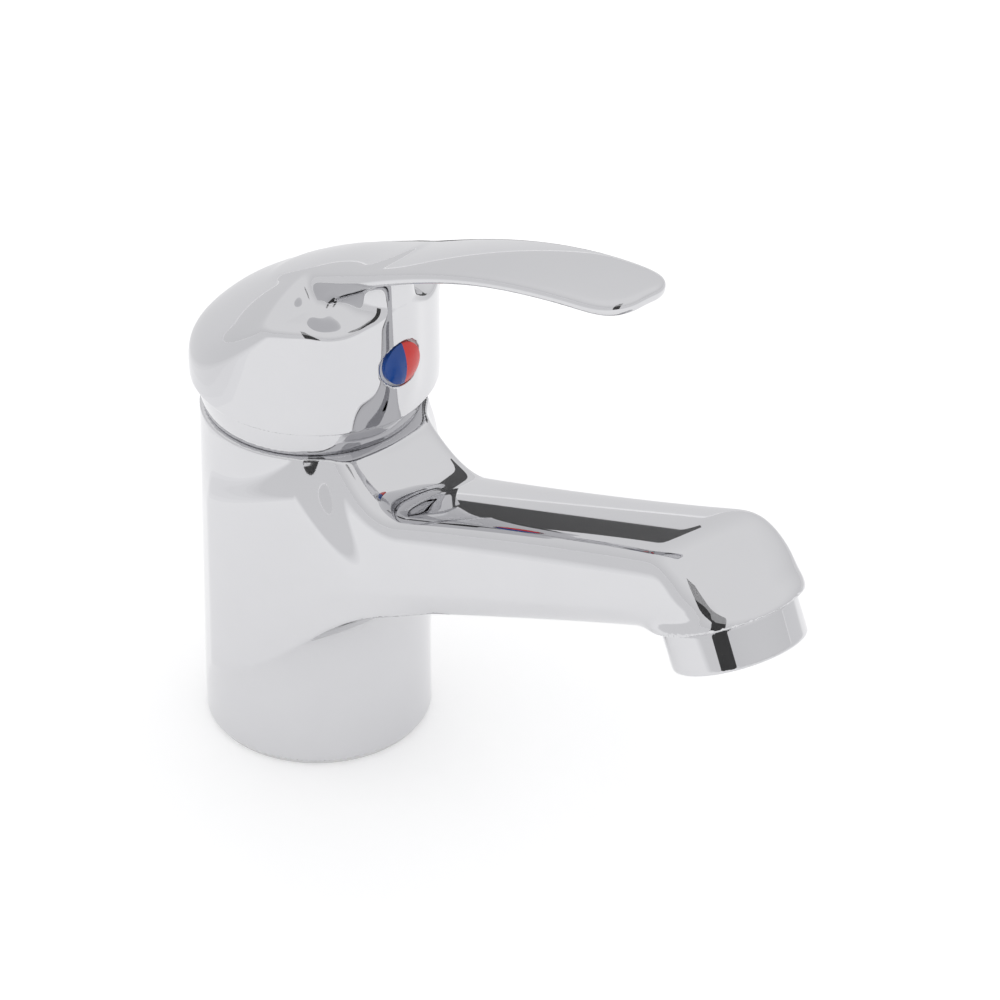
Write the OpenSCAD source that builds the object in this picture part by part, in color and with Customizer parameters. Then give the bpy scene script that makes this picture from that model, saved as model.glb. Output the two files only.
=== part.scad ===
// Single-lever basin mixer: a cast body with a fixed spout, a tilting lever and a 35 mm ceramic cartridge.
// Millimetres. The body's axis is Z, the spout points along +X, and z = 0 is the top of the basin.

/* [Body] */
// Radius of the body where it meets the basin
body_base_r = 23.6; // [23.4:0.1:25]
// Radius of the body at the seam under the cover ring
body_top_r = 23; // [22.9:0.1:23.4]
// Height of the seam above the basin
seam_z = 75.9; // [75.5:0.1:76.3]
// Distance that the base seal stands proud of the casting
seal_proud = 1; // [0.6:0.1:1.4]

/* [Spout] */
// Forward distance from the body's axis to the centre of the outlet
outlet_x = 123; // [121:0.5:125]
// Height of the centre of the outlet above the basin
outlet_z = 77.4; // [76.5:0.1:78.5]
// Angle between the water jet and the vertical
outlet_tilt = 25; // [23:1:27]
// Radius of the aerator's collar
collar_r = 13.4; // [13.2:0.1:13.8]
// Length of the aerator's collar below the spout's lip
collar_h = 8.7; // [8:0.1:9.5]
// Radius of the water passage through the spout
passage_r = 5; // [4:0.5:5]

/* [Handle] */
// Height of the axis that the handle tilts about
pivot_z = 83.7; // [83.5:0.1:84]
// Angle that the handle lifts through, from closed to fully open
lift_range = 13; // [10:1:13]
// Forward distance from the body's axis to the lever's tip
lever_tip_x = 97; // [94:1:99]
// Outer radius of the handle's hub
hub_r = 25.4; // [25.3:0.05:25.6]
// Distance that the hub's wall is set forward of the tilt axis
hub_forward = 0.7; // [0.5:0.1:0.8]
// Radius of the sphere that the cover ring is part of
ring_r = 23.4; // [23.3:0.05:23.45]
// Radius of the hot and cold indicator
indicator_r = 5.1; // [4.8:0.1:5.4]

/* [Cartridge] */
// Radius of the cartridge's widest part
cartridge_r = 17.4; // [17.3:0.05:17.45]
// Height of the chamber floor that the cartridge stands on
floor_z = 53; // [52.9:0.1:53.1]
// Distance from the tilt axis down to the ball that drives the upper disc
ball_drop = 14.2; // [14.1:0.1:14.3]
// Width across the flats of the lever stem
stem_w = 7; // [6.5:0.5:7]

/* [Hidden] */

$fn = 64;
eps = 0.01;
slack = 0.1;

// Length of a cut that runs right through, and reach of a cutting block
through = 200;
wide = 60;

// Colours
chrome = "silver";
brass = "goldenrod";
rubber = "dimgray";
ceramic = "whitesmoke";
plastic = "lightgray";

// Chamber and threads in the body
chamber_r = cartridge_r + slack;
thread_r = 19.4;
thread_z = 66;
spigot_r = 20.6;
spigot_h = 1.5;

// Underside of the body
seal_inner_r = 19;
seal_outer_r = 22.6;
seal_h = 2.6;
inlet_thread_r = 4.5;
inlet_thread_h = 14;
stud_x = 11;
stud_r = 3.4;
stud_h = 18;

// Ports between the cartridge and the body
port_pos = [-5, 8];
port_r = 3;
outlet_port_x = 7.5;
outlet_port_r = 3.6;
gasket_w = 1.5;
pin_pos = [3, 13];
pin_r = 1.5;
pin_h = 2.5;

// Levels of the cartridge's layers
base_top = floor_z + 6;
lower_disc_top = base_top + 4;
film = 0.05;
upper_disc_bottom = lower_disc_top + film;
upper_disc_top = lower_disc_top + 3.5;
carrier_top = upper_disc_top + 4.7;
flange_bottom = carrier_top + 0.2;
flange_top = flange_bottom + 3;
turret_top = pivot_z + 4.1;
housing_mid_z = 77.2;
housing_top = pivot_z + 3.6;
housing_mid_r = 16;
housing_neck_r = 13.5;
cavity_r = 14.6;
bearing_r = 11;
turret_r = bearing_r - 0.05;
upper_disc_r = 11.4;
carrier_half = 8.7;
o_ring_z = 77.6;
o_ring_r = 0.8;
nut_inner_r = 16.2;
nut_hex_z = 76.5;
nut_top = 81.5;
nut_hex_r = 20.5;
flange_play = 0.2;
slot_w = 9.8;
slot_play = 0.5;
disc_pocket_x = [-2.2, 5.5];
disc_pocket_r = 5.2;
disc_pocket_h = 1.8;
dimple_r = 8;
dimple_h = 1;

// Cover ring
ring_wall = 1.8;
ring_lid_z = pivot_z + 1.1;
ring_lid_h = 1.2;
ring_hole_r = 13.7;
spigot_wall = 0.8;

// Lever stem, leaning forward by half the lift when the valve is shut
lean = lift_range / 2;
ball_r = 2.8;
ball_hole_r = 2.9;
stem_top = 20;
stem_bottom = -5;
neck_pin_r = 2;
disc_shift = -ball_drop * sin(lean);
tilt_pin_r = 1.5;

// Handle
hub_gap = 0.2;
hub_wall_top = 94;
hub_blend_h = 4;
hub_inner_r = ring_r + hub_gap;
rim_front_z = 82.8;
rim_rise = 1.5;
lid_ceiling = 1.5;
neck_ceiling = 4.9;
neck_room_r = 14.4;
boss_bottom = 8;
boss_r = 8.5;
adapter_w = 10;
socket_top = 21;
nose_x = 27.4;
nose_z = 96.8;
nose_tilt = 3.6;
nose_r = 6.6;
cup_depth = 2.6;
cup_h = 1.6;
cup_floor = 1;
cup_wall = 0.6;
dome_r = 9.2;
dome_h = 3;
screw_r = 2.5;
screw_hole_r = 2.5;
screw_len = 9;
screw_seat_x = 7.5;
screw_key_r = 1.4;
screw_key_h = 3;

// Lever outline: forward position, height of the top face, half width and thickness
LEVER = [
    [-15, 102, 12, 8],
    [8, 112.6, 15, 6],
    [24, 119.8, 17, 5],
    [46, 130.8, 14.6, 4],
    [70, 139.8, 11.2, 3.4],
    [lever_tip_x - 7, 144, 9, 3.4],
    [lever_tip_x - 1.6, 145, 5.5, 3.2]
];
HUB_BARS = 2;

// Spout sections: forward position and height of the centre, half width and half height
spout_slope = 23.5;
SPOUT = [
    [8, 51, 15.5, 24],
    [36, 58, 14.8, 11.6],
    [60, 68.6, 13.8, 10],
    [106, 88.4, 13.8, 8.9]
];
section_round = 5;
lip_r = 15.6;
ramp_r = 24.5;
passage_z = 38.5;
passage_slope = 25.3;
passage_len = 117;
passage_back = 1.5;

// Aerator
neck_r = 11.4;
neck_h = 2.5;
insert_h = 9.9;
washer_h = 1.5;
washer_inner_r = 8.8;
lip_top_r = 9.5;
aerator_r = 10.4;
shelf_r = 9.6;
shelf_h = 1.2;
screen_h = 8.5;
screen_thickness = 0.6;
screen_pitch = 2.3;
screen_hole_r = 0.8;
insert_wall = 1;
insert_floor = 2;
jet_r = 1.1;
jet_rings = [[12, 6.5], [6, 3.2]];

module at_pivot(angle) {
    translate([0, 0, pivot_z]) rotate([0, angle, 0]) children();
}

module at_outlet() {
    translate([outlet_x, 0, outlet_z]) rotate([0, -outlet_tilt, 0]) children();
}

module at_nose() {
    translate([nose_x, 0, nose_z]) rotate([0, 90 - nose_tilt, 0]) children();
}

module on_both_sides() {
    for (side = [0, 1]) mirror([0, side, 0]) children();
}

module tube(outer, inner, h) {
    difference() {
        cylinder(r = outer, h = h);
        translate([0, 0, -1]) cylinder(r = inner, h = h + 2);
    }
}

// Rounded slice of the spout, square to its axis
module spout_slice(s) {
    translate([s[0], 0, s[1]]) rotate([0, 90 - spout_slope, 0]) linear_extrude(height = 0.5, center = true)
        for (x = [-1, 1]) for (y = [-1, 1])
            translate([x * (s[3] - section_round), y * (s[2] - section_round)])
                circle(r = section_round, $fn = 24);
}

module spout_outside() {
    for (i = [0:len(SPOUT) - 2]) hull() {
        spout_slice(SPOUT[i]);
        spout_slice(SPOUT[i + 1]);
    }
    hull() {
        spout_slice(SPOUT[len(SPOUT) - 1]);
        at_outlet() translate([0, 0, collar_h]) cylinder(r = lip_r, h = 3, $fn = 32);
        at_outlet() translate([0, 0, collar_h + 7]) cylinder(r = lip_top_r, h = 2.6, $fn = 32);
    }
}

module body_outside() {
    translate([0, 0, seal_proud])
        cylinder(r1 = body_base_r, r2 = body_top_r, h = seam_z - seal_proud);
}

module inlet_bores() {
    on_both_sides() {
        translate([port_pos[0], port_pos[1], 0])
            cylinder(r = inlet_thread_r, h = seal_proud + inlet_thread_h);
        translate([port_pos[0], port_pos[1], 0]) cylinder(r = port_r, h = floor_z + 1);
    }
}

module water_passage() {
    translate([outlet_port_x, 0, passage_z]) cylinder(r = outlet_port_r, h = floor_z - passage_z + 1);
    translate([outlet_port_x - passage_back, 0, passage_z]) rotate([0, 90 - passage_slope, 0])
        cylinder(r = passage_r, h = passage_len);
    at_outlet() translate([0, 0, collar_h + neck_h]) cylinder(r = washer_inner_r, h = 4);
    at_outlet() cylinder(r = neck_r + slack, h = collar_h + neck_h + washer_h);
}

module body_casting() color(chrome) difference() {
    intersection() {
        union() {
            body_outside();
            spout_outside();
        }
        translate([-wide, -wide, seal_proud]) cube([through, 2 * wide, through]);
    }
    translate([0, 0, seam_z]) cylinder(r = ramp_r, h = through);
    translate([0, 0, floor_z]) cylinder(r = chamber_r, h = through);
    translate([0, 0, thread_z]) cylinder(r = thread_r, h = through);
    translate([0, 0, seam_z - spigot_h]) cylinder(r = spigot_r, h = through);
    translate([0, 0, -1]) tube(seal_outer_r, seal_inner_r, seal_h + 1);
    translate([stud_x, 0, 0]) cylinder(r = stud_r, h = seal_proud + stud_h);
    inlet_bores();
    water_passage();
    on_both_sides() translate([pin_pos[0], pin_pos[1], floor_z - pin_h - 0.5])
        cylinder(r = pin_r + slack, h = pin_h + 1);
    at_outlet() translate([0, 0, -20]) cylinder(r = lip_r + 1, h = collar_h + 20);
}

module base_seal() color("white") tube(seal_outer_r, seal_inner_r, seal_h);

module cover_ring() color(chrome) {
    difference() {
        intersection() {
            translate([0, 0, pivot_z]) sphere(r = ring_r);
            translate([0, 0, seam_z]) cylinder(r = wide, h = ring_lid_z - seam_z);
        }
        intersection() {
            translate([0, 0, pivot_z]) sphere(r = ring_r - ring_wall);
            translate([0, 0, seam_z - 1]) cylinder(r = wide, h = ring_lid_z - ring_lid_h - seam_z + 1);
        }
        cylinder(r = ring_hole_r, h = through);
    }
    translate([0, 0, seam_z - spigot_h]) tube(spigot_r - slack / 2, spigot_r - spigot_wall, spigot_h + 0.2);
}

module clamp_nut() color(brass) difference() {
    union() {
        translate([0, 0, thread_z]) cylinder(r = thread_r, h = nut_hex_z - thread_z);
        translate([0, 0, nut_hex_z]) cylinder(r = nut_hex_r, h = nut_top - nut_hex_z, $fn = 6);
    }
    cylinder(r = nut_inner_r, h = through);
}

module port_holes(grow) {
    on_both_sides() translate([port_pos[0], port_pos[1], 0]) cylinder(r = port_r + grow, h = through);
    translate([outlet_port_x, 0, 0]) cylinder(r = outlet_port_r + grow, h = through);
}

// Three rubber rings, one round each port
module port_rings(h) {
    on_both_sides() translate([port_pos[0], port_pos[1], 0]) tube(port_r + gasket_w, port_r, h);
    translate([outlet_port_x, 0, 0]) tube(outlet_port_r + gasket_w, outlet_port_r, h);
}

module ring_grooves(z, h) {
    intersection() {
        translate([0, 0, z]) cylinder(r = wide, h = h);
        port_holes(gasket_w);
    }
}

module cartridge_base() color(plastic) {
    difference() {
        translate([0, 0, floor_z]) cylinder(r = cartridge_r, h = base_top - floor_z);
        port_holes(0);
        ring_grooves(floor_z - 1, gasket_w + 1);
        ring_grooves(base_top - gasket_w, gasket_w + 1);
    }
    on_both_sides() translate([pin_pos[0], pin_pos[1], floor_z - pin_h])
        cylinder(r = pin_r, h = pin_h + 0.5);
}

module port_seals() color(rubber) translate([0, 0, floor_z]) port_rings(gasket_w);

module disc_seals() color(rubber) translate([0, 0, base_top - gasket_w]) port_rings(gasket_w);

module lower_ceramic_disc() color(ceramic) difference() {
    translate([0, 0, base_top]) cylinder(r = cavity_r - slack, h = lower_disc_top - base_top);
    port_holes(0);
}

module cartridge_housing() color(plastic) difference() {
    union() {
        translate([0, 0, base_top]) cylinder(r = cartridge_r, h = thread_z - base_top);
        translate([0, 0, thread_z]) cylinder(r = housing_mid_r, h = housing_mid_z - thread_z);
        translate([0, 0, housing_mid_z]) cylinder(r = housing_neck_r, h = housing_top - housing_mid_z);
    }
    cylinder(r = cavity_r, h = flange_top + 0.3);
    cylinder(r = bearing_r, h = through);
}

module upper_ceramic_disc() color(ceramic) translate([disc_shift, 0, upper_disc_bottom]) difference() {
    cylinder(r = upper_disc_r, h = upper_disc_top - upper_disc_bottom);
    for (x = disc_pocket_x) translate([x, 0, -1]) cylinder(r = disc_pocket_r, h = disc_pocket_h + 1);
    translate([0, 0, upper_disc_top - upper_disc_bottom - dimple_h]) cylinder(r = dimple_r, h = dimple_h + 1);
}

module carrier_outline(r, half) {
    intersection() {
        circle(r = r);
        square([wide, 2 * half], center = true);
    }
}

module disc_carrier() color("ivory") translate([disc_shift, 0, 0]) difference() {
    union() {
        translate([0, 0, upper_disc_top]) linear_extrude(height = carrier_top - upper_disc_top)
            carrier_outline(upper_disc_r, carrier_half);
        translate([0, 0, upper_disc_top - dimple_h]) cylinder(r = dimple_r - slack, h = dimple_h + 0.5);
    }
    cylinder(r = ball_hole_r, h = through);
}

module turret() color("ivory") difference() {
    union() {
        translate([0, 0, flange_bottom]) cylinder(r = cavity_r - flange_play, h = flange_top - flange_bottom);
        translate([0, 0, flange_top - eps]) cylinder(r = turret_r, h = turret_top - flange_top + eps);
        translate([0, 0, upper_disc_top + flange_play]) linear_extrude(height = flange_bottom - upper_disc_top)
            difference() {
                circle(r = cavity_r - flange_play);
                square([wide, 2 * carrier_half + 3 * flange_play], center = true);
            }
    }
    translate([0, 0, pivot_z]) cube([slot_w, stem_w + slot_play, wide], center = true);
    translate([0, 0, pivot_z]) rotate([90, 0, 0]) cylinder(r = tilt_pin_r + film, h = wide, center = true);
    translate([0, 0, o_ring_z - o_ring_r - flange_play])
        tube(cartridge_r, turret_r - 2 * o_ring_r, 2 * (o_ring_r + flange_play));
}

module turret_o_ring() color(rubber) translate([0, 0, o_ring_z]) rotate_extrude()
    translate([turret_r - o_ring_r, 0]) circle(r = o_ring_r, $fn = 24);

module lever_stem() color(brass) at_pivot(lean) difference() {
    union() {
        translate([-stem_w / 2, -stem_w / 2, stem_bottom])
            cube([stem_w, stem_w, stem_top - stem_bottom]);
        translate([0, 0, -ball_drop]) cylinder(r = neck_pin_r, h = ball_drop + stem_bottom + 1);
        translate([0, 0, -ball_drop]) sphere(r = ball_r);
    }
    rotate([90, 0, 0]) cylinder(r = tilt_pin_r, h = wide, center = true);
}

module stem_pin() color("gray") translate([0, 0, pivot_z]) rotate([90, 0, 0])
    cylinder(r = tilt_pin_r, h = 20, center = true);

module stem_adapter() color(plastic) difference() {
    at_pivot(lean) translate([-adapter_w / 2, -adapter_w / 2, boss_bottom])
        cube([adapter_w, adapter_w, socket_top - boss_bottom]);
    at_pivot(lean) translate([-stem_w / 2, -stem_w / 2, 0]) cube([stem_w, stem_w, stem_top]);
    at_nose() translate([0, 0, -nose_x]) cylinder(r = screw_hole_r, h = nose_x);
}

module grub_screw() color("gray") difference() {
    at_nose() translate([0, 0, screw_seat_x - nose_x]) cylinder(r = screw_r, h = screw_len);
    at_nose() translate([0, 0, screw_seat_x - nose_x + screw_len - screw_key_h])
        cylinder(r = screw_key_r, h = screw_key_h + 1, $fn = 6);
}

// Bar across the lever at one station of its outline
module lever_bar(s) {
    translate([s[0], 0, s[1] - s[3] / 2]) rotate([90, 0, 0])
        cylinder(r = s[3] / 2, h = 2 * s[2], center = true, $fn = 20);
}

module lever_outside() {
    for (i = [HUB_BARS:len(LEVER) - 2]) hull() {
        lever_bar(LEVER[i]);
        lever_bar(LEVER[i + 1]);
    }
}

module hub_wall(h) {
    translate([hub_forward, 0, rim_front_z]) cylinder(r = hub_r, h = h, $fn = 64);
}

module hub_outside() difference() {
    union() {
        hub_wall(hub_wall_top - rim_front_z);
        hull() {
            translate([0, 0, hub_blend_h]) hub_wall(hub_wall_top - rim_front_z - hub_blend_h);
            for (i = [0:HUB_BARS]) lever_bar(LEVER[i]);
        }
        at_nose() translate([0, 0, -20]) cylinder(r = nose_r, h = 20);
    }
    translate([0, 0, rim_front_z]) rotate([0, rim_rise, 0]) translate([-wide, -wide, -wide])
        cube([2 * wide, 2 * wide, wide]);
}

// Space under a flat ceiling of the given height, at both ends of the lift
module below_lid(h) {
    for (angle = [0, lift_range]) at_pivot(angle) translate([-wide, -wide, -wide])
        cube([2 * wide, 2 * wide, wide + h]);
}

module hub_cavity() difference() {
    union() {
        intersection() {
            translate([0, 0, pivot_z]) sphere(r = hub_inner_r);
            below_lid(lid_ceiling);
        }
        intersection() {
            translate([0, 0, pivot_z]) sphere(r = neck_room_r);
            below_lid(neck_ceiling);
        }
    }
    at_pivot(lean) translate([0, 0, boss_bottom]) cylinder(r = boss_r, h = 30);
}

module handle() color(chrome) difference() {
    union() {
        hub_outside();
        lever_outside();
    }
    hub_cavity();
    at_pivot(lean) translate([-adapter_w / 2, -adapter_w / 2, 0])
        cube([adapter_w, adapter_w, socket_top]);
    at_nose() translate([0, 0, -cup_depth]) cylinder(r = indicator_r, h = 20);
    at_nose() translate([0, 0, -nose_x]) cylinder(r = screw_hole_r, h = nose_x);
}

module indicator_cup() color("white") at_nose() translate([0, 0, -cup_depth]) difference() {
    cylinder(r = indicator_r, h = cup_h);
    translate([0, 0, cup_floor]) cylinder(r = indicator_r - cup_wall, h = cup_h);
}

// Domed half disc, on the side that is left open by the cut
module indicator_half(side) at_nose() translate([0, 0, cup_floor - cup_depth]) difference() {
    intersection() {
        cylinder(r = indicator_r - cup_wall, h = dome_h);
        translate([0, 0, dome_h - dome_r]) sphere(r = dome_r);
    }
    translate([-wide, side < 0 ? 0 : -wide, -1]) cube([2 * wide, wide, dome_h + 2]);
}

module cold_half() color("mediumblue") indicator_half(-1);

module hot_half() color("red") indicator_half(1);

module aerator_collar() color(chrome) at_outlet() difference() {
    union() {
        cylinder(r = collar_r, h = collar_h);
        cylinder(r = neck_r, h = collar_h + neck_h);
    }
    translate([0, 0, shelf_h]) cylinder(r = aerator_r, h = through);
    translate([0, 0, -1]) cylinder(r = shelf_r, h = through);
}

module aerator_insert() color(plastic) at_outlet() translate([0, 0, shelf_h]) difference() {
    cylinder(r = aerator_r - slack, h = insert_h);
    translate([0, 0, insert_floor]) cylinder(r = aerator_r - slack - insert_wall, h = 5);
    translate([0, 0, screen_h]) cylinder(r = aerator_r - slack - insert_wall, h = 5);
    for (ring = jet_rings) for (i = [1:ring[0]])
        rotate([0, 0, 360 * i / ring[0]]) translate([ring[1], 0, -1])
            cylinder(r = jet_r, h = through, $fn = 16);
}

module aerator_screen() color("gray") at_outlet() translate([0, 0, shelf_h + screen_h]) difference() {
    cylinder(r = aerator_r - slack - insert_wall, h = screen_thickness);
    for (x = [-3:3]) for (y = [-3:3]) if (x * x + y * y < 12)
        translate([screen_pitch * x, screen_pitch * y, -1]) cylinder(r = screen_hole_r, h = 3, $fn = 16);
}

module aerator_washer() color(rubber) at_outlet() translate([0, 0, collar_h + neck_h])
    tube(neck_r, washer_inner_r, washer_h);

body_casting();
base_seal();
cover_ring();
clamp_nut();
cartridge_base();
cartridge_housing();
port_seals();
disc_seals();
lower_ceramic_disc();
aerator_collar();
aerator_insert();
aerator_screen();
aerator_washer();
turret();
turret_o_ring();
upper_ceramic_disc();
disc_carrier();
handle();
lever_stem();
stem_pin();
stem_adapter();
grub_screw();
indicator_cup();
cold_half();
hot_half();
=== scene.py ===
"""Looks of a single-lever basin mixer, built around its CAD frame.

The chrome castings are described as signed distance fields in millimetres, in the frame of the CAD model
(the body's axis is Z, the spout points along +X, z = 0 is the top of the basin), and meshed on a fine grid.
"""
import math

import bpy
import numpy as np
from mathutils import Matrix, Vector


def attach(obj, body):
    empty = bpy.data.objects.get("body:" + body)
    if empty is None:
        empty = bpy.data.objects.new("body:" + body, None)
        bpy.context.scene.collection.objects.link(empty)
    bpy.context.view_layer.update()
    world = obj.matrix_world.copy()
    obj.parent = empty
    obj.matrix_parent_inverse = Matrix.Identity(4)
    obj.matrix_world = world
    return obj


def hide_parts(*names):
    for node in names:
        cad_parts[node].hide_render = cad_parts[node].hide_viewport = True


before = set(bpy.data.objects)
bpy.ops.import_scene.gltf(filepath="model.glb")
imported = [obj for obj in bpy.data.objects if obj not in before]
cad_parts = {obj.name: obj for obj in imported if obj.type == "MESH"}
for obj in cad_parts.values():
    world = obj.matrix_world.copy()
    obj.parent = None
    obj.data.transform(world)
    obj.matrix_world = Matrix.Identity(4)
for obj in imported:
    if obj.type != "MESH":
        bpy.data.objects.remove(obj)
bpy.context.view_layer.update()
MM = 0.001

# ---------------------------------------------------------------- dimensions shared with the CAD model, mm
# Body and its bores
BODY_BASE_R = 23.6
BODY_TOP_R = 23.0
SEAM_Z = 75.9
SEAL_PROUD = 1.0
SEAL_INNER_R = 19.0
SEAL_OUTER_R = 22.6
SEAL_H = 2.6
CHAMBER_R = 17.5
CHAMBER_Z = 53.0
THREAD_R = 19.4
THREAD_Z = 66.0
SPIGOT_R = 20.6
SPIGOT_H = 1.5
STUD_X = 11.0
STUD_R = 3.4
STUD_TOP = 19.0
INLET_X = -5.0
INLET_Y = 8.0
INLET_R = 4.5
INLET_TOP = 15.0
PORT_R = 3.0
# Outlet and aerator collar
OUTLET_X = 123.0
OUTLET_Z = 77.4
OUTLET_TILT = 25.0
COLLAR_R = 13.4
COLLAR_H = 8.7
COLLAR_BORE = 10.4
COLLAR_MOUTH = 9.6
COLLAR_SHELF = 1.2
COLLAR_NECK_R = 11.4
COLLAR_NECK_H = 2.5
# Handle's hub and cover ring
PIVOT_Z = 83.7
LIFT = 13.0
HUB_R = 25.4
HUB_FORWARD = 0.7
RING_R = 23.4
RING_WALL = 1.8
RING_LID_H = 1.2
RING_HOLE_R = 13.7
HUB_GAP = 0.2
RING_LID_Z = PIVOT_Z + 1.1
# The room over the ring is 0.2 lower than the CAD model's, which leaves the thin wall behind it thicker
LID_CEILING = 1.3
NECK_CEILING = 4.9
NECK_R = 14.4
BOSS_R = 8.5
BOSS_Z = 8.0
ADAPTER_HALF = 5.0
SOCKET_TOP = 21.0
SCREW_R = 2.5
RIM_Z = 82.8
RIM_RISE = 1.5
# Indicator on the hub's nose
NOSE_X = 27.4
NOSE_Z = 96.8
NOSE_TILT = 3.6
DISC_R = 5.1
DISC_DEPTH = 2.6


# ---------------------------------------------------------------- distance fields
def tan(degrees):
    return math.tan(math.radians(degrees))


def smin(a, b, k):
    """Union of two fields with a fillet about k wide."""
    h = np.maximum(k - np.abs(a - b), 0.0) / k
    return np.minimum(a, b) - h ** 3 * k / 6.0


def smax(a, b, k):
    """Intersection of two fields with a rounded edge about k wide."""
    return -smin(-a, -b, k)


def step(x, start, end):
    t = np.clip((x - start) / (end - start), 0.0, 1.0)
    return t * t * (3.0 - 2.0 * t)


def spline(x, points):
    """Natural cubic curve through a few (x, value) points, straight beyond its ends."""
    xs, ys = np.array(points, float).T
    n = len(xs)
    h = np.diff(xs)
    system = np.eye(n)
    right = np.zeros(n)
    for i in range(1, n - 1):
        system[i, i - 1:i + 2] = h[i - 1], 2.0 * (h[i - 1] + h[i]), h[i]
        right[i] = 6.0 * ((ys[i + 1] - ys[i]) / h[i] - (ys[i] - ys[i - 1]) / h[i - 1])
    bend = np.linalg.solve(system, right)
    k = np.clip(np.searchsorted(xs, x) - 1, 0, n - 2)
    inside = np.clip(x, xs[0], xs[-1])
    a = (xs[k + 1] - inside) / h[k]
    b = (inside - xs[k]) / h[k]
    y = a * ys[k] + b * ys[k + 1] + ((a ** 3 - a) * bend[k] + (b ** 3 - b) * bend[k + 1]) * h[k] ** 2 / 6.0
    first = (ys[1] - ys[0]) / h[0] - h[0] * bend[1] / 6.0
    last = (ys[-1] - ys[-2]) / h[-1] + h[-1] * bend[-2] / 6.0
    return y + np.minimum(x - xs[0], 0.0) * first + np.maximum(x - xs[-1], 0.0) * last


def ball(p, x, y, z, r):
    return np.sqrt((p[:, 0] - x) ** 2 + (p[:, 1] - y) ** 2 + (p[:, 2] - z) ** 2) - r


def ellipsoid(p, centre, radii):
    q = p - np.array(centre)
    r = np.array(radii, float)
    outer = np.linalg.norm(q / r, axis=1)
    inner = np.linalg.norm(q / (r * r), axis=1)
    return outer * (outer - 1.0) / np.maximum(inner, 1e-9)


# Ends of bores that run out of a casting
BELOW = -9.0
ABOVE = 99.0


def rod(p, x, y, r, low, high):
    """Upright cylinder about (x, y)."""
    return np.maximum(np.hypot(p[:, 0] - x, p[:, 1] - y) - r, np.maximum(low - p[:, 2], p[:, 2] - high))


def rounded_bar(u, v, half_u, half_v, r):
    qu = np.abs(u) - half_u + r
    qv = np.abs(v) - half_v + r
    return np.hypot(np.maximum(qu, 0.0), np.maximum(qv, 0.0)) + np.minimum(np.maximum(qu, qv), 0.0) - r


def local(p, x, z, tilt):
    """Coordinates in a frame at (x, 0, z) whose Z axis leans by tilt degrees towards +X."""
    c, s = math.cos(math.radians(tilt)), math.sin(math.radians(tilt))
    dx, dz = p[:, 0] - x, p[:, 2] - z
    return np.stack([dx * c - dz * s, p[:, 1], dx * s + dz * c], axis=1)


# ---------------------------------------------------------------- body and spout
# A point of the top's and of the underside's straight stretch, and their slopes
TOP_X = 54.6
TOP_Z = 76.7
TOP_SLOPE = 21.4
UNDER_X = 57.0
UNDER_Z = 55.3
BOTTOM_SLOPE = 25.3
# Where the curves up to the body and down to it end, how far they reach and how sharply they bend
RAMP_END = 40.0
RAMP_REACH = 24.0
RAMP_BEND = 25.0
GUSSET_END = 50.0
GUSSET_REACH = 30.0
GUSSET_BEND = 30.0
# Slope of the tip's domed face, where it starts, and the lip under it
BROW_X = 114.0
BROW_Z = 103.2
BROW_SLOPE = 30.0
LIP_R = 15.2
LIP_TOP = 10.5
OUTLET_BORE = 11.5
# Half width along the spout, by forward position
WIDTH = [(14, 18.4), (24, 17.4), (36, 16.0), (60, 14.4), (90, 14.0), (108, 14.8), (120, 15.9), (134, 16.2)]


def spout_top(x):
    """Height of the spout's top face: a straight slope with a concave ramp up to the body."""
    ramp = np.clip(RAMP_END - x, 0.0, RAMP_REACH)
    return TOP_Z + (x - TOP_X) * tan(TOP_SLOPE) + ramp ** 2 / RAMP_BEND


def spout_bottom(x):
    """Height of the spout's underside: a straight slope with a gusset down to the body."""
    gusset = np.clip(GUSSET_END - x, 0.0, GUSSET_REACH)
    return UNDER_Z + (x - UNDER_X) * tan(BOTTOM_SLOPE) - gusset ** 2 / GUSSET_BEND


def spout_field(p):
    """The spout with its domed tip, and the height of its top."""
    x, y, z = p.T
    ramp = np.clip(RAMP_END - x, 0.0, RAMP_REACH)
    crest = spout_top(x) + 0.7 - y * y / 230.0
    top = (z - crest) / np.sqrt(1.0 + (tan(TOP_SLOPE) - 2.0 * ramp / RAMP_BEND) ** 2)
    bottom = (spout_bottom(x) - 0.8 + y * y / 110.0 - z) * math.cos(math.radians(BOTTOM_SLOPE))
    # Widest a little below the middle, and leaning inwards from there
    low = UNDER_Z + (x - UNDER_X) * tan(BOTTOM_SLOPE)
    high = TOP_Z - 0.6 + (x - TOP_X) * tan(TOP_SLOPE)
    middle = low + 0.3 * (high - low)
    half = spline(x, WIDTH) - 0.16 * np.maximum(z - middle, 0.0) - 0.12 * np.maximum(middle - z, 0.0)
    field = smax(smax(top, np.abs(y) - half, 6.0), bottom, 8.0)
    o = local(p, OUTLET_X, OUTLET_Z, -OUTLET_TILT)
    reach = np.where(o[:, 0] > 0.0, np.hypot(o[:, 0], y), np.abs(y))
    field = smax(field, reach - LIP_R - 0.5, 7.0)
    brow = z - BROW_Z + (x - BROW_X) * tan(BROW_SLOPE) + y * y / 140.0
    field = smax(field, brow * math.cos(math.radians(BROW_SLOPE)), 7.0)
    lip = smax(np.hypot(o[:, 0], y) - LIP_R, o[:, 2] - LIP_TOP, 4.0)
    field = smin(field, lip, 4.0)
    field = smax(field, COLLAR_H - o[:, 2], 0.8)
    return smax(field, 2.0 - x, 2.0), crest


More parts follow.
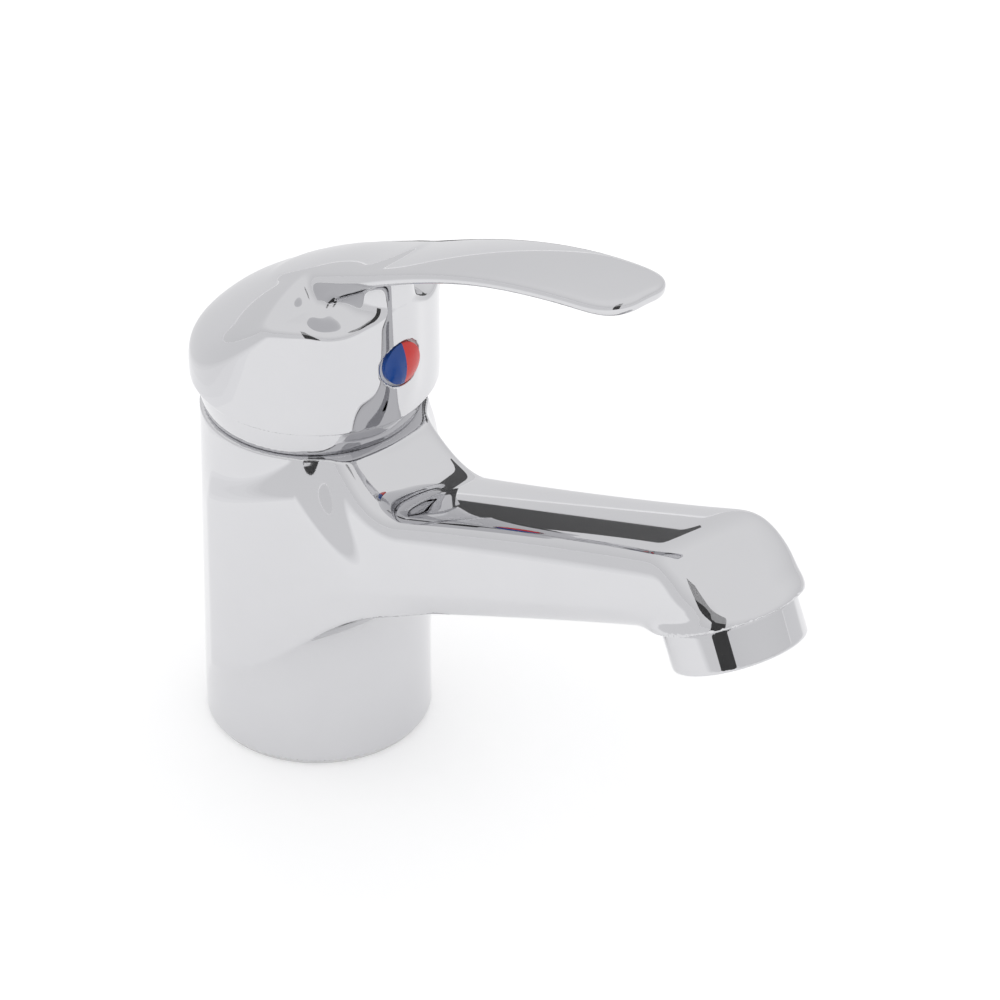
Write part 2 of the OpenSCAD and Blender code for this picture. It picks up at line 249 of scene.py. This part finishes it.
def body_field(p):
    z = p[:, 2]
    radius = np.hypot(p[:, 0], p[:, 1])
    taper = (BODY_BASE_R - BODY_TOP_R) / (SEAM_Z - SEAL_PROUD)
    barrel = radius - BODY_BASE_R + taper * (z - SEAL_PROUD)
    spout, crest = spout_field(p)
    field = smin(barrel, spout, 4.0 + 18.0 * step(crest - z, 2.0, 18.0))
    field = smax(field, smin(z - SEAM_Z, 26.0 - radius, 0.6), 0.8)
    field = smax(field, SEAL_PROUD - z, 0.8)
    groove = np.maximum(rod(p, 0, 0, SEAL_OUTER_R, BELOW, SEAL_H), SEAL_INNER_R - radius)
    holes = [groove, rod(p, STUD_X, 0, STUD_R, BELOW, STUD_TOP)]
    for r, floor in ((CHAMBER_R, CHAMBER_Z), (THREAD_R, THREAD_Z), (SPIGOT_R, SEAM_Z - SPIGOT_H)):
        holes.append(rod(p, 0, 0, r, floor, ABOVE))
    for side in (-INLET_Y, INLET_Y):
        holes.append(rod(p, INLET_X, side, INLET_R, BELOW, INLET_TOP))
        holes.append(rod(p, INLET_X, side, PORT_R, BELOW, CHAMBER_Z + 2.0))
    o = local(p, OUTLET_X, OUTLET_Z, -OUTLET_TILT)
    holes.append(rod(o, 0, 0, OUTLET_BORE, BELOW, COLLAR_H + 3.2))
    holes.append(rod(o, 0, 0, LIP_R + 1.4, BELOW, COLLAR_H))
    for hole in holes:
        field = smax(field, -hole, 0.5)
    return field


# ---------------------------------------------------------------- handle
# Along the lever, by forward position: height of its top, half width, thickness and radius of its crown
SPINE = [(-24, 90.2), (-19, 95.9), (-12, 101.6), (-3, 107.4), (8, 113.4), (23, 120.3), (40, 128.4),
         (56, 135.1), (70, 139.7), (86, 143.4), (96, 144.9)]
HALF = [(-24, 9), (-10, 14), (6, 18), (18, 18.2), (30, 16.9), (46, 14.8), (60, 12.9), (78, 10.4),
        (96, 8.4)]
THICK = [(-24, 12), (0, 10), (20, 5.0), (40, 3.2), (60, 2.8), (96, 3.4)]
ROUND = [(-24, 24), (0, 30), (24, 40), (60, 45), (96, 45)]
# Top of the hub's front, rounded end of the lever, and end of the blade over the back of the hub
SHOULDER_Z = 108.0
TIP_X = 86.5
TIP_R = 10.2
REAR_R = 24.6
# Hollows beside the nose, and the nose's half length and half width about its middle
POCKET = (23.0, 13.0, 109.6)
POCKET_RADII = (6.5, 5.0, 2.8)
NOSE_MIDDLE = 12.0
NOSE_LEN = 15.2
NOSE_WIDTH = 6.2


def handle_outside(p):
    """A hub whose wall curves in at the rim, joined to a blade, both under one crowned top."""
    x, y, z = p.T
    wall = np.hypot(x - HUB_FORWARD, y) - HUB_R + 0.004 * (88.0 - np.minimum(z, 88.0)) ** 2
    crest = spline(x, SPINE) - y * y / (2.0 * spline(x, ROUND))
    steep = np.sqrt(1.0 + 0.42 ** 2 + 0.6 * step(-x, 0.0, 20.0))
    hub = smax(wall, z - SHOULDER_Z - 14.0 * step(-x, -14.0, -2.0), 3.5)
    under = (crest - spline(x, THICK) - z) / steep
    blade = smax(under, np.abs(y) - spline(x, HALF), 3.5)
    tip = np.hypot(np.maximum(x - TIP_X, 0.0), 1.35 * np.maximum(np.abs(y) - 2.0, 0.0)) - TIP_R
    blade = smax(blade, tip, 3.0)
    rear = np.where(x < 0, np.hypot(x - HUB_FORWARD, y), np.abs(y)) - REAR_R
    blade = smax(blade, rear, 10.0)
    field = smax(smin(hub, blade, 7.0), (z - crest) / steep, 5.0 - 2.6 * step(x, 0.0, 34.0))
    for side in (-1, 1):
        pocket = ellipsoid(p, (POCKET[0], side * POCKET[1], POCKET[2]), POCKET_RADII)
        field = smax(field, -pocket, 3.0)
    fade = 0.022 * (94.0 - np.minimum(z, 94.0)) ** 2
    nose = rounded_bar(x - NOSE_MIDDLE, y, NOSE_LEN - fade, NOSE_WIDTH - fade / 2.0, 5.0)
    nose = smax(nose, z - (crest - 2.0), 2.0)
    field = smin(field, nose, 6.0)
    rim = (RIM_Z - z) + (25.0 - x) * tan(RIM_RISE)
    return smax(field, rim, 0.6)


def handle_cavity(p):
    """Space for the cover ring and the turret at every lift, and for the stem and the indicator."""
    level = np.minimum(*[local(p, 0, PIVOT_Z, lift)[:, 2] for lift in (0.0, LIFT)])
    dome = smax(ball(p, 0, 0, PIVOT_Z, RING_R + HUB_GAP), level - LID_CEILING, 0.5)
    dome = smin(dome, smax(ball(p, 0, 0, PIVOT_Z, NECK_R), level - NECK_CEILING, 0.5), 0.5)
    stem = local(p, 0, PIVOT_Z, LIFT / 2)
    dome = smax(dome, -rod(stem, 0, 0, BOSS_R, BOSS_Z, ABOVE), 0.5)
    across = np.maximum(np.abs(stem[:, 0]), np.abs(stem[:, 1]))
    socket = np.maximum(across - ADAPTER_HALF, stem[:, 2] - SOCKET_TOP)
    nose = local(p, NOSE_X, NOSE_Z, 90.0 - NOSE_TILT)
    cup = rod(nose, 0, 0, DISC_R, -DISC_DEPTH, 9)
    screw = rod(nose, 0, 0, SCREW_R, -NOSE_X, 9)
    return np.minimum(np.minimum(dome, socket), np.minimum(cup, screw))


def handle_field(p):
    return smax(handle_outside(p), -handle_cavity(p), 0.5)


# ---------------------------------------------------------------- cover ring and aerator collar
def ring_field(p):
    radius = np.hypot(p[:, 0], p[:, 1])
    half = (RING_LID_Z - SEAM_Z) / 2
    band = np.abs(p[:, 2] - SEAM_Z - half) - half
    zone = smax(ball(p, 0, 0, PIVOT_Z, RING_R), band, 0.5)
    hollow = np.maximum(ball(p, 0, 0, PIVOT_Z, RING_R - RING_WALL), p[:, 2] - RING_LID_Z + RING_LID_H)
    field = smax(zone, -hollow, 0.4)
    spigot = rod(p, 0, 0, SPIGOT_R - 0.05, SEAM_Z - SPIGOT_H, SEAM_Z + 1.0)
    spigot = np.maximum(spigot, SPIGOT_R - 0.8 - radius)
    return smax(np.minimum(field, spigot), RING_HOLE_R - radius, 0.4)


def collar_field(p):
    o = local(p, OUTLET_X, OUTLET_Z, -OUTLET_TILT)
    band = np.abs(o[:, 2] - COLLAR_H / 2) - COLLAR_H / 2
    outside = smax(np.hypot(o[:, 0], o[:, 1]) - COLLAR_R, band, 0.9)
    outside = np.minimum(outside, rod(o, 0, 0, COLLAR_NECK_R, 1.0, COLLAR_H + COLLAR_NECK_H))
    bore = rod(o, 0, 0, COLLAR_BORE, COLLAR_SHELF, ABOVE)
    mouth = rod(o, 0, 0, COLLAR_MOUTH, BELOW, ABOVE)
    return smax(outside, -np.minimum(bore, mouth), 0.5)


# ---------------------------------------------------------------- meshing
def gradient(field, p, e=0.02):
    """Slope of the field at each point, from differences over a distance e either way."""
    steps = np.eye(3) * e
    return np.stack([field(p + s) - field(p - s) for s in steps], axis=1) / (2.0 * e)


def sample(field, low, counts, cell, coarse=4):
    """The field on a grid: exact near the surface, and only its sign further off."""
    blocks = [int(math.ceil(n / coarse)) for n in counts]
    centres = np.stack(np.meshgrid(*[np.arange(b) for b in blocks], indexing="ij"), axis=-1)
    points = low + (centres.reshape(-1, 3) * coarse + (coarse - 1) / 2.0) * cell
    rough = field(points).reshape(blocks)
    near = np.abs(rough) < coarse * cell * 1.6
    for axis, n in enumerate(blocks):
        rough = np.repeat(rough, coarse, axis=axis)
        near = np.repeat(near, coarse, axis=axis)
    window = tuple(slice(0, n) for n in counts)
    values, near = rough[window].copy(), near[window]
    index = np.argwhere(near)
    values[near] = field(low + index * cell)
    return values


def surface_net(field, low, high, cell):
    """Quads of the field's zero surface, their corners moved on to it, and the normals there."""
    low, high = np.array(low, float), np.array(high, float)
    counts = [int(n) for n in np.ceil((high - low) / cell) + 1]
    values = sample(field, low, counts, cell)
    cells = np.prod(counts)
    total = np.zeros((3, cells))
    hits = np.zeros(cells)
    quads = []
    for axis in range(3):
        u, v = (axis + 1) % 3, (axis + 2) % 3
        first = [slice(None)] * 3
        second = [slice(None)] * 3
        first[axis], second[axis] = slice(0, -1), slice(1, None)
        a, b = values[tuple(first)], values[tuple(second)]
        cut = (a < 0.0) != (b < 0.0)
        index = np.argwhere(cut)
        a, b = a[cut], b[cut]
        where = index.astype(float)
        where[:, axis] += a / (a - b)
        ring = []
        for du, dv in ((0, 0), (1, 0), (1, 1), (0, 1)):
            neighbour = index.copy()
            neighbour[:, u] -= du
            neighbour[:, v] -= dv
            flat = np.ravel_multi_index(neighbour.T, counts)
            ring.append(flat)
            hits += np.bincount(flat, minlength=cells)
            for k in range(3):
                total[k] += np.bincount(flat, weights=where[:, k], minlength=cells)
        ring = np.stack(ring, axis=1)
        ring[a >= 0.0] = ring[a >= 0.0][:, ::-1]
        quads.append(ring)
    used = np.flatnonzero(hits)
    number = np.full(cells, -1)
    number[used] = np.arange(len(used))
    points = low + (total[:, used] / hits[used]).T * cell
    quads = number[np.concatenate(quads)]
    for i in range(4):
        if i == 2:
            points = relax(points, quads)
        slope = gradient(field, points)
        size = np.maximum((slope ** 2).sum(axis=1), 0.05)
        move = -(field(points) / size)[:, None] * slope
        points = points + np.clip(move, -cell, cell)
    normals = gradient(field, points)
    normals /= np.linalg.norm(normals, axis=1)[:, None]
    return points, quads, normals


def relax(points, quads):
    """Each corner moves half way to the middle of its neighbours, which evens out the quads."""
    total = np.zeros_like(points)
    hits = np.zeros(len(points))
    for i in range(4):
        for j in (1, 3):
            for k in range(3):
                total[:, k] += np.bincount(quads[:, i], points[quads[:, (i + j) % 4], k], len(points))
            hits += np.bincount(quads[:, i], minlength=len(points))
    return (points + total / hits[:, None]) / 2.0


def cast(name, field, low, high, cell):
    """Object with the field's zero surface, found between two corners, and its exact normals."""
    points, quads, normals = surface_net(field, low, high, cell)
    mesh = bpy.data.meshes.new(name)
    mesh.from_pydata((points * MM).tolist(), [], quads.tolist())
    mesh.polygons.foreach_set("use_smooth", [True] * len(mesh.polygons))
    mesh.normals_split_custom_set_from_vertices(normals.tolist())
    piece = bpy.data.objects.new(name, mesh)
    bpy.context.scene.collection.objects.link(piece)
    return piece


# ---------------------------------------------------------------- materials
def material(name, colour, rough, metal=0.0, tint=None, scale=300.0, spread=0.04, bump=0.02):
    """Principled surface whose colour, roughness and relief vary with fine noise; scale is per metre."""
    m = bpy.data.materials.new(name)
    m.use_nodes = True
    nodes, links = m.node_tree.nodes, m.node_tree.links
    shader = nodes["Principled BSDF"]
    shader.inputs["Metallic"].default_value = metal
    place = nodes.new("ShaderNodeTexCoord")
    grain = nodes.new("ShaderNodeTexNoise")
    grain.inputs["Scale"].default_value = scale
    grain.inputs["Detail"].default_value = 5.0
    links.new(place.outputs["Object"], grain.inputs["Vector"])
    shade = nodes.new("ShaderNodeMix")
    shade.data_type = "RGBA"
    shade.inputs["A"].default_value = (*colour, 1.0)
    shade.inputs["B"].default_value = (*(tint or [c * 0.93 for c in colour]), 1.0)
    links.new(grain.outputs["Fac"], shade.inputs["Factor"])
    links.new(shade.outputs["Result"], shader.inputs["Base Color"])
    gloss = nodes.new("ShaderNodeMapRange")
    gloss.inputs["To Min"].default_value = max(0.0, rough - spread)
    gloss.inputs["To Max"].default_value = rough + spread
    links.new(grain.outputs["Fac"], gloss.inputs["Value"])
    links.new(gloss.outputs["Result"], shader.inputs["Roughness"])
    relief = nodes.new("ShaderNodeBump")
    relief.inputs["Strength"].default_value = bump
    relief.inputs["Distance"].default_value = 0.0002
    links.new(grain.outputs["Fac"], relief.inputs["Height"])
    links.new(relief.outputs["Normal"], shader.inputs["Normal"])
    return m


CHROME = dict(colour=(0.665, 0.665, 0.68), tint=(0.645, 0.645, 0.66), rough=0.03, metal=1.0, spread=0.012,
              scale=90.0, bump=0.006)
CHROME_BODY = material("chrome_body", **CHROME)
CHROME_HANDLE = material("chrome_handle", **CHROME)
CHROME_RING = material("chrome_ring", **CHROME)
CHROME_COLLAR = material("chrome_collar", **CHROME)
PLASTIC = dict(scale=1500.0, spread=0.06, bump=0.06)
GLOSSY_PLASTIC = dict(scale=1500.0, spread=0.03, bump=0.03)
RUBBER = dict(scale=1200.0, spread=0.06, bump=0.10)
FINISHES = {
    "brass": material("brass", (0.63, 0.46, 0.20), 0.28, metal=1.0, scale=700.0, spread=0.08, bump=0.08),
    "steel": material("steel", (0.52, 0.52, 0.53), 0.25, metal=1.0, scale=900.0, spread=0.08, bump=0.06),
    "steel_mesh": material("steel_mesh", (0.42, 0.42, 0.43), 0.35, metal=1.0, scale=1500.0, spread=0.1,
                           bump=0.1),
    "ceramic": material("ceramic", (0.86, 0.85, 0.82), 0.12, scale=1200.0, spread=0.04, bump=0.02),
    "grey_plastic": material("grey_plastic", (0.47, 0.48, 0.50), 0.38, **PLASTIC),
    "ivory_plastic": material("ivory_plastic", (0.74, 0.70, 0.60), 0.36, **PLASTIC),
    "white_plastic": material("white_plastic", (0.80, 0.80, 0.81), 0.30, scale=1500.0, spread=0.05,
                              bump=0.05),
    "blue_plastic": material("blue_plastic", (0.010, 0.062, 0.28), 0.16, **GLOSSY_PLASTIC),
    "red_plastic": material("red_plastic", (0.66, 0.035, 0.03), 0.16, **GLOSSY_PLASTIC),
    "white_rubber": material("white_rubber", (0.72, 0.72, 0.72), 0.55, **RUBBER),
    "black_rubber": material("black_rubber", (0.02, 0.02, 0.021), 0.55, **RUBBER),
}
NODE_FINISH = {
    "base_seal": "white_rubber", "clamp_nut": "brass", "cartridge_base": "grey_plastic",
    "cartridge_housing": "grey_plastic", "port_seals": "black_rubber", "disc_seals": "black_rubber",
    "lower_ceramic_disc": "ceramic", "upper_ceramic_disc": "ceramic", "aerator_insert": "grey_plastic",
    "aerator_screen": "steel_mesh", "aerator_washer": "black_rubber", "turret": "ivory_plastic",
    "turret_o_ring": "black_rubber", "disc_carrier": "ivory_plastic", "lever_stem": "brass",
    "stem_pin": "steel", "stem_adapter": "grey_plastic", "grub_screw": "steel",
    "indicator_cup": "white_plastic", "cold_half": "blue_plastic", "hot_half": "red_plastic",
}
for node, finish in NODE_FINISH.items():
    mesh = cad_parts[node].data
    if not mesh.materials:
        mesh.materials.append(None)
    for i in range(len(mesh.materials)):
        mesh.materials[i] = FINISHES[finish]


# ---------------------------------------------------------------- castings
def stand_in(name, field, low, high, cell, surface, node, body):
    """Casting that is shown in place of a CAD node."""
    piece = cast(name, field, low, high, cell)
    piece.data.materials.append(surface)
    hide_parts(node)
    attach(piece, body)


FINE = 0.42
MEDIUM = FINE * 1.6
stand_in("body_shell", body_field, (-26, -26, -1), (138, 26, 103), MEDIUM, CHROME_BODY,
         "body_casting", "root")
stand_in("ring_shell", ring_field, (-26, -26, 73), (26, 26, 90), FINE, CHROME_RING,
         "cover_ring", "root")
stand_in("collar_shell", collar_field, (104, -16, 68), (140, 16, 98), FINE, CHROME_COLLAR,
         "aerator_collar", "root")
stand_in("handle_shell", handle_field, (-27, -28, 80), (98, 28, 147), FINE, CHROME_HANDLE,
         "handle", "lever")

# ---------------------------------------------------------------- camera
EYE = Vector((739.2473, -629.9093, 705.7867)) * MM
EYE_AZIMUTH = -42.67
EYE_ELEVATION = 34.03


def aimed(azimuth, elevation):
    """Turn of a camera that looks back along the direction given in degrees."""
    a, e = math.radians(azimuth), math.radians(elevation)
    back = Vector((math.cos(e) * math.cos(a), math.cos(e) * math.sin(a), math.sin(e)))
    right = Vector((-math.sin(a), math.cos(a), 0.0))
    return Matrix((right, back.cross(right), back)).transposed().to_4x4()


lens = bpy.data.cameras.new("camera")
lens.lens = 205.542
lens.sensor_width = 36.0
lens.clip_end = 20.0
camera = bpy.data.objects.new("camera", lens)
camera.matrix_world = Matrix.Translation(EYE) @ aimed(EYE_AZIMUTH, EYE_ELEVATION)
bpy.context.scene.collection.objects.link(camera)
bpy.context.scene.camera = camera


# ---------------------------------------------------------------- floor, sky and cards
def plain(name, colour, glow=0.0):
    """Even matt surface for the stage."""
    m = bpy.data.materials.new(name)
    m.use_nodes = True
    shader = m.node_tree.nodes["Principled BSDF"]
    shader.inputs["Base Color"].default_value = (*colour, 1.0)
    shader.inputs["Roughness"].default_value = 0.9
    shader.inputs["Emission Color"].default_value = (1.0, 1.0, 1.0, 1.0)
    shader.inputs["Emission Strength"].default_value = glow
    return m


def stage_piece(name, corners, faces, surface):
    mesh = bpy.data.meshes.new(name)
    mesh.from_pydata(corners, [], faces)
    mesh.materials.append(surface)
    piece = bpy.data.objects.new(name, mesh)
    bpy.context.scene.collection.objects.link(piece)
    return piece


def unseen(piece):
    """Leaves a stage piece to the chrome's reflections alone."""
    piece.visible_camera = False
    piece.visible_shadow = False
    piece.visible_diffuse = False


def surround(name, x, y, inner, outer, z, surface, count=72):
    """Flat ring on the floor about (x, y)."""
    turns = [math.tau * i / count for i in range(count)]
    corners = [(x + r * math.cos(a), y + r * math.sin(a), z) for r in (inner, outer) for a in turns]
    quads = [(i, (i + 1) % count, count + (i + 1) % count, count + i) for i in range(count)]
    unseen(stage_piece(name, corners, quads, surface))


def flag(name, start, end, start_height, end_height, shade):
    """Upright card from one bottom corner to the other."""
    up = Vector((0.0, 0.0, 1.0))
    corners = [start, end, Vector(end) + up * end_height, Vector(start) + up * start_height]
    unseen(stage_piece(name, corners, [(0, 1, 2, 3)], plain(name, (shade, shade, shade))))


def toward(point, azimuth, distance, rise):
    a = math.radians(azimuth)
    return Vector(point) + Vector((math.cos(a), math.sin(a), rise)) * distance


def sky(low, high):
    """World that is one shade at the horizon and another overhead."""
    world = bpy.data.worlds.new("studio")
    world.use_nodes = True
    bpy.context.scene.world = world
    nodes, links = world.node_tree.nodes, world.node_tree.links
    direction = nodes.new("ShaderNodeTexCoord")
    height = nodes.new("ShaderNodeSeparateXYZ")
    links.new(direction.outputs["Generated"], height.inputs["Vector"])
    shades = nodes.new("ShaderNodeValToRGB")
    shades.color_ramp.elements[0].position = 0.02
    shades.color_ramp.elements[0].color = (*low, 1.0)
    shades.color_ramp.elements[1].position = 0.7
    shades.color_ramp.elements[1].color = (*high, 1.0)
    links.new(height.outputs["Z"], shades.inputs["Fac"])
    links.new(shades.outputs["Color"], nodes["Background"].inputs["Color"])


FLOOR = [(-4, -4, 0), (4, -4, 0), (4, 4, 0), (-4, 4, 0)]
stage_piece("floor", FLOOR, [(0, 1, 2, 3)], plain("floor_white", (0.93, 0.93, 0.93), glow=0.24))
sky((0.80, 0.80, 0.81), (0.95, 0.95, 0.955))
bpy.context.scene.view_settings.view_transform = "Standard"

# The white floor fades to grey past about 0.25 m, as the chrome sees it
FADE = [0.245, 0.255, 0.265, 0.275, 0.285, 0.295, 3.9]
for i, inner in enumerate(FADE[:-1]):
    name = "floor_grey_%d" % i
    grey = plain(name, (0.92, 0.92, 0.925), glow=0.2 - 0.04 * i)
    surround(name, 0.12, 0.02, inner, FADE[i + 1], 0.0012, grey)

# Behind the spout and nearly in line with it, so that its top reflects this card and the handle doesn't
BEHIND = 147
GAP = 0.062
SPREAD = 0.84
ends = []
for x, gap in ((0.040, GAP), (0.126, GAP + 0.086 * SPREAD)):
    on_top = (x, -0.001, spout_top(np.array([x / MM]))[0] * MM)
    ends.append(toward(on_top, BEHIND, gap, 0.02))
flag("flag_spout", *ends, 0.031, 0.009, 0.13)
# In front of the spout's tip: a dark card with a lighter one over it
TIP_LEFT = (0.195, -0.206)
TIP_RIGHT = (0.285, -0.178)
flag("flag_tip", (*TIP_LEFT, 0.03), (*TIP_RIGHT, 0.03), 0.16, 0.16, 0.05)
flag("flag_tip_high", (*TIP_LEFT, 0.19), (*TIP_RIGHT, 0.19), 0.30, 0.30, 0.42)
